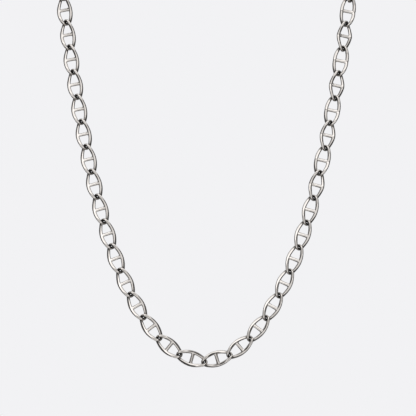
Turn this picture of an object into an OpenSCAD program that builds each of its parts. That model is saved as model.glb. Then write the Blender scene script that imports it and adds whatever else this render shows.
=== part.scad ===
// Mariner link necklace chain, closed loop, hanging as it does round a neck.
// Millimetres. +Z is up and the front of the loop faces -Y.
// The origin is the middle of the neck opening, at the height of the nape.

/* [Link] */
// Width of a link over both limbs
link_w = 5.5; // [5.4:0.1:6]
// Thickness of the wire, which is also its width at a link's ends
wire_d = 0.95; // [0.9:0.05:1]
// Width to which the wire is flattened along the limbs
limb_w = 1.2; // [1:0.05:1.25]
// How late the limbs narrow to the wire's own width
narrow_power = 4; // [2:1:6]
// Height of the bar soldered across the middle
bar_w = 1.1; // [0.8:0.05:1.2]
// Thickness of the bar from front to back
bar_t = 0.85; // [0.6:0.05:0.9]
// Distance from one joint of the chain to the next
pitch = 8.8; // [8.6:0.1:9]
// Play between two hooked links
play = 0.25; // [0.25:0.01:0.4]
// Radius of a link's rounded ends, at the middle of the wire
end_r = 1.65; // [1.6:0.05:1.75]
// Angle by which each end is turned out of the link's plane
end_turn = 52; // [50:1:55]
// How late the turn sets in between a link's middle and its end
turn_power = 1.1; // [1:0.1:1.3]

/* [Facets] */
// Straight stretches in each limb
limb_steps = 4; // [3:1:6]
// Straight stretches round each end
end_steps = 4; // [4:1:6]

/* [Front of the loop] */
// Links of each strand that hang down the chest
front_links = 16; // [14:1:17]
// Length that sets how wide the hanging curve is
sag_length = 18.4; // [18:0.1:20]
// Extra steepness of the curve close to its lowest joint
low_pull = 0.25; // [0:0.05:0.3]
// Length of strand over which the extra steepness fades
low_reach = 22; // [15:1:35]
// Lean of the chest at the lowest joint
lean_low = 6; // [2:1:10]
// Lean of the chest where the strands leave it
lean_high = 12; // [8:1:16]
// Angle by which the uppermost front links face outwards
face_out = 16; // [0:1:24]

/* [Back of the loop] */
// Distance from the lowest joint back to the nape
nape_back = 111; // [104:1:122]
// Height of the nape over the lowest joint
nape_up = 146; // [142:1:152]
// Reach of the curve that rises over the shoulder
shoulder_reach = 50; // [46:1:56]
// Reach of the curve that rounds the nape
nape_reach = 72; // [68:1:76]
// Upward tilt of the links that lie on the neck and shoulders
nape_tilt = 45; // [30:1:50]

/* [Right strand] */
// Joints, counted up from the lowest, that are hooked the other way round
crossed_joints = [9, 11, 13, 15]; // [1:1:16]

/* [Clasp] */
// Least length between the clasp's two joints
clasp_min = 12; // [12:0.5:16]
// Thickness of the clasp's barrel at its middle
barrel_d = 4.4; // [4:0.1:5]
// Thickness of the barrel at its ends
barrel_end_d = 3.2; // [2.8:0.1:3.4]
// Radius of the eye at each end, at the middle of its wire
eye_r = 1.45; // [1.4:0.05:1.6]

/* [Hidden] */

// Sides of a link's wire
wire_sides = 5;
// Rounding allowance when a direction is compared with the one where two arcs meet
meet_slack = 0.001;
// Links' worth of turn that is still left between the last link and the clasp's middle
nape_rest = 0.6;

// Half length and half width of a link along the middle of its wire
half_l = (pitch + wire_d + play) / 2;
half_w = (link_w - limb_w) / 2;
// Radius of the limb arcs that meet the end arcs smoothly
limb_r = (pow(half_w, 2) + pow(half_l - end_r, 2) - pow(end_r, 2)) / (2 * (half_w - end_r));
// Direction in which a limb arc meets an end arc
meet = atan2(half_l - end_r, limb_r - half_w);
// Neck opening's middle, seen from the lowest joint
neck_middle = [0, nape_back / 2, nape_up];

function unit(v) = v / norm(v);
function smooth(t) = t * t * (3 - 2 * t);
function blend(a, b, t) = a + (b - a) * t;

// Directions, going once round the oval, at which its outline has a corner
directions = concat(
    [for (i = [0 : limb_steps - 1]) -meet + i * 2 * meet / limb_steps],
    [for (i = [0 : end_steps - 1]) meet + i * (180 - 2 * meet) / end_steps],
    [for (i = [0 : limb_steps - 1]) 180 - meet + i * 2 * meet / limb_steps],
    [for (i = [0 : end_steps - 1]) 180 + meet + i * (180 - 2 * meet) / end_steps]
);

// Point of the flat oval whose outward normal has the direction t
function oval_point(t) =
    let (on_end = abs(sin(t)) > sin(meet) + meet_slack)
    let (middle = on_end ? [0, sign(sin(t)) * (half_l - end_r)] : [sign(cos(t)) * (half_w - limb_r), 0])
    middle + (on_end ? end_r : limb_r) * [cos(t), sin(t)];

// Turn about the link's long axis at the height y, with the sense of each end
function turn_at(y, up, down) =
    end_turn * pow(abs(y) / half_l, turn_power) * (y > 0 ? up : -down);
function turned(p, a) = [p[0] * cos(a) - p[2] * sin(a), p[1], p[0] * sin(a) + p[2] * cos(a)];

// Width of the flattened wire at the height y
function width_at(y) = blend(limb_w, wire_d, pow(abs(y) / half_l, narrow_power));

// Corners of the wire's section at each point of the oval, which is made flat and then turned
function link_rings(up, down) =
    [for (t = directions)
        let (middle = oval_point(t))
        for (j = [0 : wire_sides - 1])
            let (b = (j + 0.5) * 360 / wire_sides)
            let (flat = middle + width_at(middle[1]) / 2 * cos(b) * [cos(t), sin(t)])
            turned([flat[0], flat[1], wire_d / 2 * sin(b)], turn_at(flat[1], up, down))];

function ring_faces(n, m) =
    [for (i = [0 : n - 1], j = [0 : m - 1], half = [0, 1])
        let (k = (i + 1) % n)
        let (l = (j + 1) % m)
        half == 0 ? [i * m + j, k * m + l, k * m + j] : [i * m + j, i * m + l, k * m + l]];

// One link: a turned oval of wire with a bar soldered across it.
// up and down are 1 for an end hooked the usual way and -1 for the other way.
module link(up = 1, down = 1) {
    union() {
        polyhedron(link_rings(up, down), ring_faces(len(directions), wire_sides), convexity = 6);
        rotate([0, 90, 0])
            linear_extrude(2 * half_w, center = true)
                polygon([for (j = [0 : wire_sides - 1])
                    let (b = j * 360 / wire_sides)
                    [bar_t / 2 * sin(b), bar_w / 2 * cos(b)]]);
    }
}

// Direction of the front's link i, counted up from the lowest joint
function front_direction(i) =
    let (s = (i + 0.5) * pitch)
    let (slope = atan(s / sag_length * (1 + low_pull * exp(-s / low_reach))))
    let (lean = blend(lean_low, lean_high, (i + 0.5) / front_links))
    [cos(slope), sin(slope) * sin(lean), sin(slope) * cos(lean)];

function front_joints(i = 0, p = [0, 0, 0]) =
    i == front_links ? [p] : concat([p], front_joints(i + 1, p + pitch * front_direction(i)));

// Smooth curve through four guide points, from the front's last joint to the nape
function curve(g, t) =
    let (s = 1 - t)
    s * s * s * g[0] + 3 * s * s * t * g[1] + 3 * s * t * t * g[2] + t * t * t * g[3];

// Place on the curve that lies one pitch away from p, found by halving
function one_pitch_on(g, p, low, high, tries = 24) =
    let (t = (low + high) / 2)
    tries == 0 ? t :
    norm(curve(g, t) - p) < pitch ? one_pitch_on(g, p, t, high, tries - 1) :
    one_pitch_on(g, p, low, t, tries - 1);

function back_joints(g, p, t = 0) =
    let (next_t = one_pitch_on(g, p, t, 1))
    let (next = curve(g, next_t))
    norm(g[3] - p) < pitch || next[0] < clasp_min / 2 ? [] : concat([next], back_joints(g, next, next_t));

front = front_joints();
leave = front[front_links];
nape = [0, nape_back, nape_up];
guides = [
    leave,
    leave + shoulder_reach * front_direction(front_links - 1),
    nape + [nape_reach, 0, 0],
    nape
];
// Joints of the right strand, from the lowest one to the clasp
joints = concat(front, back_joints(guides, leave));
side_links = len(joints) - 1;
clasp_joint = joints[side_links];

// Direction that the face of the right strand's link i looks towards
function face_direction(i) =
    let (u = i + 0.5)
    let (w = (u - front_links) / (side_links + nape_rest - front_links))
    let (out = u < front_links ? face_out * u / front_links : blend(face_out, 180, w))
    let (up = u < front_links ? blend(lean_low, lean_high, u / front_links)
                              : blend(lean_high, nape_tilt, smooth(min(1, 2 * w))))
    [sin(out) * cos(up), -cos(out) * cos(up), sin(up)];

// Moves a piece from its own axes to between two joints: its +Y runs from low to high,
// and its +Z faces the way of look
function between(low, high, look) =
    let (along = unit(high - low))
    let (face = unit(look - (look * along) * along))
    let (wide = cross(along, face))
    let (mid = (low + high) / 2 - neck_middle)
    [[wide[0], along[0], face[0], mid[0]],
     [wide[1], along[1], face[1], mid[1]],
     [wide[2], along[2], face[2], mid[2]],
     [0, 0, 0, 1]];

// The same point on the right strand, for side 1, or on the left one, for side -1
function on_side(p, side) = [side * p[0], p[1], p[2]];

function sense(joint, side) = side > 0 && len(search(joint, crossed_joints)) > 0 ? -1 : 1;

module strand(side) {
    color("silver")
        for (i = [0 : side_links - 1])
            multmatrix(between(on_side(joints[i], side), on_side(joints[i + 1], side),
                               on_side(face_direction(i), side)))
                link(sense(i + 1, side), sense(i, side));
}

module chain_left() {
    strand(-1);
}

module chain_right() {
    strand(1);
}

// Plain barrel clasp with an eye at each end, which the last links hook through
module clasp() {
    barrel_r = barrel_d / 2;
    drop = (barrel_d - barrel_end_d) / 2;
    eye_y = clasp_joint[0] + (wire_d + play) / 2 - eye_r;
    barrel_half = eye_y - eye_r;
    arch_r = (pow(barrel_half, 2) + pow(drop, 2)) / (2 * drop);
    color("silver")
        multmatrix(between(clasp_joint, on_side(clasp_joint, -1), [0, cos(nape_tilt), sin(nape_tilt)]))
            union() {
                rotate([90, 0, 0])
                    rotate_extrude($fn = 64)
                        intersection() {
                            translate([barrel_r - arch_r, 0])
                                circle(arch_r, $fn = 360);
                            translate([0, -barrel_half])
                                square([barrel_r, 2 * barrel_half]);
                        }
                for (end = [-1, 1])
                    translate([0, end * eye_y, 0])
                        rotate([0, -end * end_turn, 0])
                            rotate_extrude($fn = 48)
                                translate([eye_r, 0])
                                    circle(d = wire_d, $fn = 24);
            }
}

chain_left();
chain_right();
clasp();
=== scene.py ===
import math

import bpy
from mathutils import Matrix, Vector


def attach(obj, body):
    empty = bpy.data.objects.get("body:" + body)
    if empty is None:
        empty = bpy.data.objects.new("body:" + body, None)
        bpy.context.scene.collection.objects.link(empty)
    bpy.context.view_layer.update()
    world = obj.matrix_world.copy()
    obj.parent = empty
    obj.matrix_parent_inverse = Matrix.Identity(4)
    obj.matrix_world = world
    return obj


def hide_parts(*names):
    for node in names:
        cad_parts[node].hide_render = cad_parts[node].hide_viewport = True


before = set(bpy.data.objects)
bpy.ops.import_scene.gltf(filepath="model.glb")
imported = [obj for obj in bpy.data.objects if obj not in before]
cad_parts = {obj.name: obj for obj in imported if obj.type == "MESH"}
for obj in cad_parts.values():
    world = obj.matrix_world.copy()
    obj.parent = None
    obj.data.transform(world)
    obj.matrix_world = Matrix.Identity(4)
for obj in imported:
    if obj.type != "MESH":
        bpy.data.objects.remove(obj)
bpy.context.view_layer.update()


# Camera.
# A long lens looks level at the chain's front from 0.9 m away, rolled by about 0.3 degrees.
# Its axis meets the loop a third of the way up.
camera_place = (0.00096, -0.9555, -0.0943)
camera_roll = 0.281

camera_data = bpy.data.cameras.new("camera")
camera_data.sensor_width = 36.0
camera_data.lens = 232.5
camera_data.clip_start = 0.05
camera_data.clip_end = 20.0
camera = bpy.data.objects.new("camera", camera_data)
camera.matrix_world = (
    Matrix.Translation(camera_place)
    @ Matrix.Rotation(math.radians(90.0), 4, "X")
    @ Matrix.Rotation(math.radians(camera_roll), 4, "Z")
)
bpy.context.scene.collection.objects.link(camera)
bpy.context.scene.camera = camera
bpy.context.scene.view_settings.view_transform = "Standard"


# Floor.
# A disc of pale matt paper lies below the chain.
# It fades out towards its rim into surroundings of the same colour.
floor_height = -0.25
floor_radius = 1.0
rim_step = 5
fade_start, fade_end = 0.25, 0.8
pale = (0.888, 0.888, 0.905, 1.0)

rim = []
for degrees in range(0, 360, rim_step):
    a = math.radians(degrees)
    rim.append((floor_radius * math.cos(a), floor_radius * math.sin(a), floor_height))
floor_mesh = bpy.data.meshes.new("floor")
floor_mesh.from_pydata(rim, [], [list(range(len(rim)))])
floor = bpy.data.objects.new("floor", floor_mesh)
bpy.context.scene.collection.objects.link(floor)
floor.visible_glossy = False

floor_paper = bpy.data.materials.new("floor_paper")
floor_paper.use_nodes = True
nodes, links = floor_paper.node_tree.nodes, floor_paper.node_tree.links
nodes.clear()
place = nodes.new("ShaderNodeTexCoord")
distance = nodes.new("ShaderNodeVectorMath")
distance.operation = "LENGTH"
fade = nodes.new("ShaderNodeMapRange")
fade.interpolation_type = "SMOOTHSTEP"
fade.inputs["From Min"].default_value = fade_start
fade.inputs["From Max"].default_value = fade_end
matt = nodes.new("ShaderNodeBsdfDiffuse")
matt.inputs["Color"].default_value = pale
clear = nodes.new("ShaderNodeBsdfTransparent")
mix = nodes.new("ShaderNodeMixShader")
out = nodes.new("ShaderNodeOutputMaterial")
links.new(place.outputs["Object"], distance.inputs[0])
links.new(distance.outputs["Value"], fade.inputs["Value"])
links.new(fade.outputs["Result"], mix.inputs["Fac"])
links.new(matt.outputs["BSDF"], mix.inputs[1])
links.new(clear.outputs["BSDF"], mix.inputs[2])
links.new(mix.outputs["Shader"], out.inputs["Surface"])
floor_mesh.materials.append(floor_paper)


# Light tent.
# Only the silver sees this white tent, which is bright in front and a third as bright behind.
# Its sides and foot are dark. The camera and the floor see the pale surroundings instead.
tent_strength = 1.5
# Where the light starts and ends to fall towards the sides and the back, and the share that is left.
side_start, side_end, side_rest = 0.43, 0.63, 0.05
back_start, back_end, back_rest = -0.25, 0.05, 0.35

tent = bpy.data.worlds.new("tent")
tent.use_nodes = True
nodes, links = tent.node_tree.nodes, tent.node_tree.links
nodes.clear()
way = nodes.new("ShaderNodeTexCoord")
split = nodes.new("ShaderNodeSeparateXYZ")
height = nodes.new("ShaderNodeMapRange")
height.inputs["From Min"].default_value = -1.0
height.inputs["From Max"].default_value = 1.0
links.new(way.outputs["Generated"], split.inputs[0])
links.new(split.outputs["Z"], height.inputs["Value"])


def wall_of_tent(*bands):
    """Brightness of a wall of the tent, from pairs of height and brightness. Height is -1 to 1."""
    wall = nodes.new("ShaderNodeValToRGB")
    while len(wall.color_ramp.elements) < len(bands):
        wall.color_ramp.elements.new(0.5)
    for stop, (z, value) in zip(wall.color_ramp.elements, bands):
        stop.position = (z + 1) / 2
        stop.color = (value, value, value, 1.0)
    links.new(height.outputs["Result"], wall.inputs["Fac"])
    return wall


def falling(value, start, end, rest):
    """1 where the value is under start, falling smoothly to the rest at end."""
    fade = nodes.new("ShaderNodeMapRange")
    fade.interpolation_type = "SMOOTHSTEP"
    fade.inputs["From Min"].default_value = start
    fade.inputs["From Max"].default_value = end
    fade.inputs["To Min"].default_value = 1.0
    fade.inputs["To Max"].default_value = rest
    links.new(value, fade.inputs["Value"])
    return fade.outputs["Result"]


lit_wall = wall_of_tent(
    (-1.0, 0.1),
    (-0.82, 0.08),
    (-0.65, 0.35),
    (-0.2, 0.6),
    (0.18, 0.3),
    (0.4, 0.6),
    (0.65, 1.0),
    (1.0, 0.53),
)
dark_wall = wall_of_tent((-0.3, 0.02), (0.5, 0.06), (1.0, 0.22))
aside = nodes.new("ShaderNodeMath")
aside.operation = "ABSOLUTE"
lit = nodes.new("ShaderNodeMath")
lit.operation = "MULTIPLY"
walls = nodes.new("ShaderNodeMix")
walls.data_type = "RGBA"
light = nodes.new("ShaderNodeBackground")
light.inputs["Strength"].default_value = tent_strength
surroundings = nodes.new("ShaderNodeBackground")
surroundings.inputs["Color"].default_value = pale
seen = nodes.new("ShaderNodeLightPath")
not_silver = nodes.new("ShaderNodeMath")
not_silver.operation = "MAXIMUM"
mix = nodes.new("ShaderNodeMixShader")
out = nodes.new("ShaderNodeOutputWorld")
links.new(split.outputs["X"], aside.inputs[0])
links.new(falling(aside.outputs[0], side_start, side_end, side_rest), lit.inputs[0])
links.new(falling(split.outputs["Y"], back_start, back_end, back_rest), lit.inputs[1])
links.new(lit.outputs[0], walls.inputs[0])
links.new(dark_wall.outputs["Color"], walls.inputs[6])
links.new(lit_wall.outputs["Color"], walls.inputs[7])
links.new(walls.outputs[2], light.inputs["Color"])
links.new(seen.outputs["Is Camera Ray"], not_silver.inputs[0])
links.new(seen.outputs["Is Diffuse Ray"], not_silver.inputs[1])
links.new(not_silver.outputs[0], mix.inputs["Fac"])
links.new(light.outputs["Background"], mix.inputs[1])
links.new(surroundings.outputs["Background"], mix.inputs[2])
links.new(mix.outputs["Shader"], out.inputs["Surface"])
bpy.context.scene.world = tent


# Link wire.
# Each link is silver wire bent to a pointed oval, with limbs rather wider than the ends.
# The closed middle line of that wire is drawn here while it is still flat.
mm = 0.001
link_width = 5.4 * mm
wire_thickness = 0.95 * mm
end_width = 0.95 * mm
limb_width = 1.15 * mm
pitch = 8.8 * mm
play = 0.25 * mm
end_radius = 1.65 * mm
half_length = (pitch + end_width + play) / 2
half_width = (link_width - limb_width) / 2
limb_radius = (half_width**2 + (half_length - end_radius) ** 2 - end_radius**2) / (
    2 * (half_width - end_radius)
)
meet = math.atan2(half_length - end_radius, limb_radius - half_width)
limb_steps, end_steps = 20, 12
hair = 1e-6

ways = [-meet + i * 2 * meet / limb_steps for i in range(limb_steps)]
ways += [meet + i * (math.pi - 2 * meet) / end_steps for i in range(end_steps)]
wire_curve = bpy.data.curves.new("link_wire", "CURVE")
wire_curve.dimensions = "3D"
spline = wire_curve.splines.new("POLY")
spline.points.add(2 * len(ways) - 1)
for point, t in zip(spline.points, ways + [w + math.pi for w in ways]):
    if abs(math.sin(t)) > math.sin(meet) + hair:
        x = end_radius * math.cos(t)
        y = math.copysign(half_length - end_radius, math.sin(t)) + end_radius * math.sin(t)
    else:
        x = limb_radius * math.cos(t) - math.copysign(limb_radius - half_width, math.cos(t))
        y = limb_radius * math.sin(t)
    point.co = (x, y, 0.0, 1.0)
spline.use_cyclic_u = True
wire_line = bpy.data.objects.new("link_wire", wire_curve)
bpy.context.scene.collection.objects.link(wire_line)


# Silver.
# Sterling silver, polished all over. Fine wiping marks soften its shine a little.
# Inside the hooked ends its colour is painted near black, as painted shade where the links hook into
# one another.
bright = (0.895, 0.85, 0.81, 1.0)
hook_shade_colour = (0.03, 0.025, 0.022, 1.0)
smoothest, roughest = 0.05, 0.13
marks_scale = 900.0

silver = bpy.data.materials.new("polished_silver")
silver.use_nodes = True
nodes, links = silver.node_tree.nodes, silver.node_tree.links
nodes.clear()
place = nodes.new("ShaderNodeTexCoord")
marks = nodes.new("ShaderNodeTexNoise")
marks.inputs["Scale"].default_value = marks_scale
marks.inputs["Detail"].default_value = 4.0
sheen = nodes.new("ShaderNodeMapRange")
sheen.inputs["From Min"].default_value = 0.3
sheen.inputs["From Max"].default_value = 0.7
sheen.inputs["To Min"].default_value = smoothest
sheen.inputs["To Max"].default_value = roughest
# Painted shade: this mask darkens the silver's colour to near black inside the hooked ends.
hook_shade_mask = nodes.new("ShaderNodeAttribute")
hook_shade_mask.attribute_name = "unpolished"
tint = nodes.new("ShaderNodeMix")
tint.data_type = "RGBA"
tint.inputs[6].default_value = bright
tint.inputs[7].default_value = hook_shade_colour
metal = nodes.new("ShaderNodeBsdfPrincipled")
metal.inputs["Metallic"].default_value = 1.0
out = nodes.new("ShaderNodeOutputMaterial")
links.new(place.outputs["Object"], marks.inputs["Vector"])
links.new(marks.outputs["Fac"], sheen.inputs["Value"])
links.new(sheen.outputs["Result"], metal.inputs["Roughness"])
links.new(hook_shade_mask.outputs["Fac"], tint.inputs[0])
links.new(tint.outputs[2], metal.inputs["Base Color"])
links.new(metal.outputs["BSDF"], out.inputs["Surface"])


# Way of the chain.
# The loop hangs down the chest in a curve, rises over the shoulders and closes at the nape.
# Its joints lie one pitch apart, counted up the right strand from the lowest.
front_links = 16
sag_length = 18.4 * mm
low_pull = 0.25
low_reach = 22.0 * mm
lean_low, lean_high = 6.0, 12.0
face_out = 16.0
nape = Vector((0.0, 111.0, 146.0)) * mm
neck_middle = Vector((0.0, 55.5, 146.0)) * mm
shoulder_reach = 50.0 * mm
nape_reach = 72.0 * mm
nape_tilt = 45.0
clasp_least = 12.0 * mm
clasp_share = 0.6
crossed_joints = (9, 11, 13, 15)


def front_way(i):
    """Direction in which the front's link i points, away from the lowest joint."""
    s = (i + 0.5) * pitch
    slope = math.atan(s / sag_length * (1 + low_pull * math.exp(-s / low_reach)))
    lean = math.radians(lean_low + (lean_high - lean_low) * (i + 0.5) / front_links)
    return Vector((math.cos(slope), math.sin(slope) * math.sin(lean), math.sin(slope) * math.cos(lean)))


joints = [Vector((0.0, 0.0, 0.0))]
for i in range(front_links):
    joints.append(joints[-1] + pitch * front_way(i))
guides = [
    joints[-1],
    joints[-1] + shoulder_reach * front_way(front_links - 1),
    nape + Vector((nape_reach, 0.0, 0.0)),
    nape,
]


def on_curve(t):
    """Point of the curve that rounds the shoulder and the neck; t runs from 0 to 1 at the nape."""
    s = 1 - t
    return s**3 * guides[0] + 3 * s * s * t * guides[1] + 3 * s * t * t * guides[2] + t**3 * guides[3]


halvings = 25
reached = 0.0
while (nape - joints[-1]).length >= pitch:
    low, high = reached, 1.0
    for halving in range(halvings):
        t = (low + high) / 2
        if (on_curve(t) - joints[-1]).length < pitch:
            low = t
        else:
            high = t
    if on_curve(t).x < clasp_least / 2:
        break
    joints.append(on_curve(t))
    reached = t
side_links = len(joints) - 1


def face_way(i):
    """Direction that the face of the right strand's link i looks in."""
    u = i + 0.5
    w = (u - front_links) / (side_links + clasp_share - front_links)
    if u < front_links:
        turn = face_out * u / front_links
        tilt = lean_low + (lean_high - lean_low) * u / front_links
    else:
        turn = face_out + (180.0 - face_out) * w
        k = min(1.0, 2 * w)
        tilt = lean_high + (nape_tilt - lean_high) * k * k * (3 - 2 * k)
    turn, tilt = math.radians(turn), math.radians(tilt)
    return Vector((math.sin(turn) * math.cos(tilt), -math.cos(turn) * math.cos(tilt), math.sin(tilt)))


# Strands.
# Thirty-one silver links hook through one another on each side, from lowest joint to clasp.
# Each is bent wire with a bar soldered across. Its ends are turned, then ground flat front and back.
wire_sides, bar_sides, bar_points = 24, 16, 25
oval = 2.0
# Shares of the bar's half length between which it widens towards its soldered ends.
fillet_start, fillet_end = 0.5, 0.8
# Shares of the end radius between which the painted shade inside the hooked ends stops, and of the half
# length where it starts.
hook_shade_full, hook_shade_none = 0.9, 1.15
hook_shade_start, hook_shade_end = 0.6, 0.85
# How a link's upper and lower ends turn, for each sort of link: 1 as usual, -1 the other way.
end_senses = [(1, 1), (-1, 1), (1, -1)]
link_sizes = {
    "Wire Line": wire_line,
    "Wire Thickness": wire_thickness,
    "End Width": end_width,
    "Limb Width": limb_width,
    "Limb Squareness": 2.5,
    "End Squareness": 4.0,
    "Square Power": 10.0,
    "Narrow Power": 4.0,
    "Half Length": half_length,
    "End Radius": end_radius,
    "Bar Length": 2 * half_width,
    "Bar Height": 1.1 * mm,
    "Bar Thickness": 0.85 * mm,
    "Solder Fillet": 1.25,
    "End Turn": math.radians(52.0),
    "Turn Power": 1.1,
    "Ground Height": 1.3 * mm,
    "Metal": silver,
}
tree = bpy.data.node_groups.new("mariner_strand", "GeometryNodeTree")
tree.interface.new_socket("Geometry", in_out="OUTPUT", socket_type="NodeSocketGeometry")
tree.interface.new_socket("Link Places", in_out="INPUT", socket_type="NodeSocketGeometry")
for name, value in link_sizes.items():
    socket = "Float" if isinstance(value, float) else "Material" if value == silver else "Object"
    tree.interface.new_socket(name, in_out="INPUT", socket_type="NodeSocket" + socket)
nodes, links = tree.nodes, tree.links
given = nodes.new("NodeGroupInput")
made = nodes.new("NodeGroupOutput")


def add(kind, values=None, **settings):
    """A node of the tree, with its own settings and with its inputs set or joined."""
    node = nodes.new(kind)
    for name, value in settings.items():
        setattr(node, name, value)
    for name, value in (values or {}).items():
        if isinstance(value, bpy.types.NodeSocket):
            links.new(value, node.inputs[name])
        else:
            node.inputs[name].default_value = value
    return node


def math_of(how, a, b=0.0):
    """Result of a Math node."""
    return add("ShaderNodeMath", {0: a, 1: b}, operation=how).outputs[0]


def vector_of(how, a, b=(0.0, 0.0, 0.0)):
    """A Vector Math node."""
    return add("ShaderNodeVectorMath", {0: a, 1: b}, operation=how)


def attribute(name, sort):
    """Value of a named attribute of the link places."""
    return add("GeometryNodeInputNamedAttribute", {"Name": name}, data_type=sort).outputs[0]


spot = add("GeometryNodeInputPosition")
spot_parts = add("ShaderNodeSeparateXYZ", {0: spot.outputs[0]})


def swept(line, size, widening, thickness, squareness, sides):
    """A rod along a flat line: its size times the widening across, and of even thickness.

    Squareness is 2 for an oval section, and more for one with fuller corners."""
    kept = nodes.new("GeometryNodeCaptureAttribute")
    kept.capture_items.new("FLOAT", "Widening")
    kept.capture_items.new("VECTOR", "Middle")
    links.new(line, kept.inputs["Geometry"])
    links.new(widening, kept.inputs["Widening"])
    links.new(spot.outputs[0], kept.inputs["Middle"])
    widened = add(
        "GeometryNodeSetCurveRadius",
        {"Curve": kept.outputs["Geometry"], "Radius": kept.outputs["Widening"]},
    )
    outline = add(
        "GeometryNodeCurvePrimitiveCircle",
        {"Resolution": sides, "Radius": math_of("DIVIDE", size, 2.0)},
    )
    rod = add(
        "GeometryNodeCurveToMesh",
        {"Curve": widened.outputs[0], "Profile Curve": outline.outputs[0], "Fill Caps": True},
    )
    width = math_of("MULTIPLY", size, kept.outputs["Widening"])
    offset = vector_of("SUBTRACT", spot.outputs[0], kept.outputs["Middle"]).outputs[0]
    share = vector_of("SCALE", offset)
    links.new(math_of("DIVIDE", 2.0, width), share.inputs["Scale"])
    across = vector_of("LENGTH", vector_of("MULTIPLY", share.outputs[0], (1.0, 1.0, 0.0)).outputs[0])
    height = vector_of("LENGTH", vector_of("MULTIPLY", share.outputs[0], (0.0, 0.0, 1.0)).outputs[0])
    corners = math_of(
        "ADD",
        math_of("POWER", across.outputs["Value"], squareness),
        math_of("POWER", height.outputs["Value"], squareness),
    )
    fuller = math_of("POWER", corners, math_of("DIVIDE", -1.0, squareness))
    flatter = math_of("MULTIPLY", fuller, math_of("DIVIDE", thickness, width))
    shaped = add("ShaderNodeCombineXYZ", {"X": fuller, "Y": fuller, "Z": flatter})
    reshaped = vector_of("MULTIPLY", offset, shaped.outputs[0])
    placed = vector_of("ADD", kept.outputs["Middle"], reshaped.outputs[0]).outputs[0]
    return add("GeometryNodeSetPosition", {"Geometry": rod.outputs[0], "Position": placed}).outputs[0]


from_bar = math_of("ABSOLUTE", spot_parts.outputs["Y"])
outward = math_of("DIVIDE", from_bar, given.outputs["Half Length"])
limb_widening = add(
    "ShaderNodeMapRange",
    {
        "Value": math_of("POWER", outward, given.outputs["Narrow Power"]),
        "To Min": math_of("DIVIDE", given.outputs["Limb Width"], given.outputs["End Width"]),
        "To Max": 1.0,
    },
)
squareness = add(
    "ShaderNodeMapRange",
    {
        "Value": math_of("POWER", outward, given.outputs["Square Power"]),
        "To Min": given.outputs["Limb Squareness"],
        "To Max": given.outputs["End Squareness"],
    },
)
wire = swept(
    add("GeometryNodeObjectInfo", {"Object": given.outputs["Wire Line"]}).outputs["Geometry"],
    given.outputs["End Width"],
    limb_widening.outputs["Result"],
    given.outputs["Wire Thickness"],
    squareness.outputs["Result"],
    wire_sides,
)
half_bar = math_of("DIVIDE", given.outputs["Bar Length"], 2.0)
bar_start = add("ShaderNodeCombineXYZ", {"X": math_of("MULTIPLY", half_bar, -1.0)})
bar_end = add("ShaderNodeCombineXYZ", {"X": half_bar})
bar_line = add(
    "GeometryNodeCurvePrimitiveLine",
    {"Start": bar_start.outputs[0], "End": bar_end.outputs[0]},
)
fillet = add(
    "ShaderNodeMapRange",
    {
        "Value": math_of("DIVIDE", math_of("ABSOLUTE", spot_parts.outputs["X"]), half_bar),
        "From Min": fillet_start,
        "From Max": fillet_end,
        "To Min": 1.0,
        "To Max": given.outputs["Solder Fillet"],
    },
    interpolation_type="SMOOTHSTEP",
)
bar = swept(
    add("GeometryNodeResampleCurve", {"Curve": bar_line.outputs[0], "Count": bar_points}).outputs[0],
    given.outputs["Bar Height"],
    fillet.outputs["Result"],
    given.outputs["Bar Thickness"],
    oval,
    bar_sides,
)
soldered = add("GeometryNodeMeshBoolean", operation="UNION", solver="EXACT")
links.new(wire, soldered.inputs["Mesh 2"])
links.new(bar, soldered.inputs["Mesh 2"])
arc_middle = math_of("SUBTRACT", given.outputs["Half Length"], given.outputs["End Radius"])
past_middle = math_of("SUBTRACT", from_bar, arc_middle)
from_arc = add("ShaderNodeCombineXYZ", {"X": spot_parts.outputs["X"], "Y": past_middle})
arc_reach = vector_of("LENGTH", from_arc.outputs[0]).outputs["Value"]
inside = add(
    "ShaderNodeMapRange",
    {
        "Value": math_of("DIVIDE", arc_reach, given.outputs["End Radius"]),
        "From Min": hook_shade_full,
        "From Max": hook_shade_none,
        "To Min": 1.0,
        "To Max": 0.0,
    },
    interpolation_type="SMOOTHSTEP",
)
at_end = add(
    "ShaderNodeMapRange",
    {"Value": outward, "From Min": hook_shade_start, "From Max": hook_shade_end},
    interpolation_type="SMOOTHSTEP",
)
# Painted shade: stores the mask for the near-black colour on the inner side of the end arcs, near the
# hooked ends.
unpolished = add(
    "GeometryNodeStoreNamedAttribute",
    {
        "Geometry": soldered.outputs[0],
        "Name": "unpolished",
        "Value": math_of("MULTIPLY", inside.outputs["Result"], at_end.outputs["Result"]),
    },
    data_type="FLOAT",
    domain="POINT",
)
turn_share = math_of("POWER", outward, given.outputs["Turn Power"])
turn = math_of("MULTIPLY", turn_share, given.outputs["End Turn"])
above_bar = math_of("GREATER_THAN", spot_parts.outputs["Y"], 0.0)
facing = add(
    "FunctionNodeAxesToRotation",
    {
        "Primary Axis": attribute("face", "FLOAT_VECTOR"),
        "Secondary Axis": attribute("along", "FLOAT_VECTOR"),
    },
    primary_axis="Z",
    secondary_axis="Y",
)
sort = attribute("sort", "INT")
ground_front = given.outputs["Ground Height"]
ground_back = math_of("MULTIPLY", ground_front, -1.0)
joined = nodes.new("GeometryNodeJoinGeometry")
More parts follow.
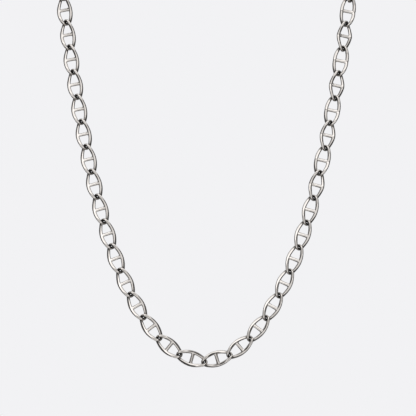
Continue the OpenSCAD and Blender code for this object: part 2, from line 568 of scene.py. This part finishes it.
for number, (up, down) in enumerate(end_senses):
    sense = add("ShaderNodeMath", {0: above_bar, 1: -up - down, 2: down}, operation="MULTIPLY_ADD")
    turned = add(
        "ShaderNodeVectorRotate",
        {"Vector": spot.outputs[0], "Angle": math_of("MULTIPLY", turn, sense.outputs[0])},
        rotation_type="Y_AXIS",
    )
    turned_parts = add("ShaderNodeSeparateXYZ", {0: turned.outputs[0]})
    behind_front = math_of("MINIMUM", turned_parts.outputs["Z"], ground_front)
    ahead_of_back = math_of("MAXIMUM", behind_front, ground_back)
    ground = add(
        "ShaderNodeCombineXYZ",
        {"X": turned_parts.outputs["X"], "Y": turned_parts.outputs["Y"], "Z": ahead_of_back},
    )
    bent = add(
        "GeometryNodeSetPosition",
        {"Geometry": unpolished.outputs[0], "Position": ground.outputs[0]},
    )
    chosen = add("FunctionNodeCompare", {"A": sort, "B": number}, data_type="INT", operation="EQUAL")
    placed = add(
        "GeometryNodeInstanceOnPoints",
        {
            "Points": given.outputs["Link Places"],
            "Selection": chosen.outputs[0],
            "Instance": bent.outputs[0],
            "Rotation": facing.outputs[0],
        },
    )
    links.new(placed.outputs[0], joined.inputs[0])
realized = add("GeometryNodeRealizeInstances", {0: joined.outputs[0]})
smooth = add("GeometryNodeSetShadeSmooth", {0: realized.outputs[0]})
finished = add(
    "GeometryNodeSetMaterial",
    {"Geometry": smooth.outputs[0], "Material": given.outputs["Metal"]},
)
links.new(finished.outputs[0], made.inputs[0])


def strand(name, node, side):
    """The links of one strand as one mesh; side is 1 for the right and -1 for the left.

    A link's sort is 1 just below a crossed joint, 2 just above one, and otherwise 0."""
    places, ways, faces, sorts = [], [], [], []
    for i in range(side_links):
        right = (joints[i], joints[i + 1], face_way(i))
        low, high, face = [Vector((side * v.x, v.y, v.z)) for v in right]
        along = (high - low).normalized()
        places.append((low + high) / 2 - neck_middle)
        ways += list(along)
        faces += list((face - face.dot(along) * along).normalized())
        above = side > 0 and i + 1 in crossed_joints
        below = side > 0 and i in crossed_joints
        sorts.append(1 if above else 2 if below else 0)
    mesh = bpy.data.meshes.new(name)
    mesh.from_pydata(places, [], [])
    mesh.attributes.new("along", "FLOAT_VECTOR", "POINT").data.foreach_set("vector", ways)
    mesh.attributes.new("face", "FLOAT_VECTOR", "POINT").data.foreach_set("vector", faces)
    mesh.attributes.new("sort", "INT", "POINT").data.foreach_set("value", sorts)
    piece = bpy.data.objects.new(name, mesh)
    bpy.context.scene.collection.objects.link(piece)
    modifier = piece.modifiers.new("mariner_strand", "NODES")
    modifier.node_group = tree
    for item in tree.interface.items_tree:
        if item.name in link_sizes:
            modifier[item.identifier] = link_sizes[item.name]
    shape = piece.evaluated_get(bpy.context.evaluated_depsgraph_get())
    piece.data = bpy.data.meshes.new_from_object(shape)
    piece.data.name = name
    piece.modifiers.clear()
    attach(piece, "root")
    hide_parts(node)
    return piece


left_strand = strand("left_strand", "chain_left", -1)
right_strand = strand("right_strand", "chain_right", 1)
bpy.data.objects.remove(wire_line)


# Clasp.
# A plain silver barrel with an eye at each end, which the last links hook through.
# It is a turned and polished piece, so the solid's own round faces stay.
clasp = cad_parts["clasp"]
clasp.data.materials.clear()
clasp.data.materials.append(silver)
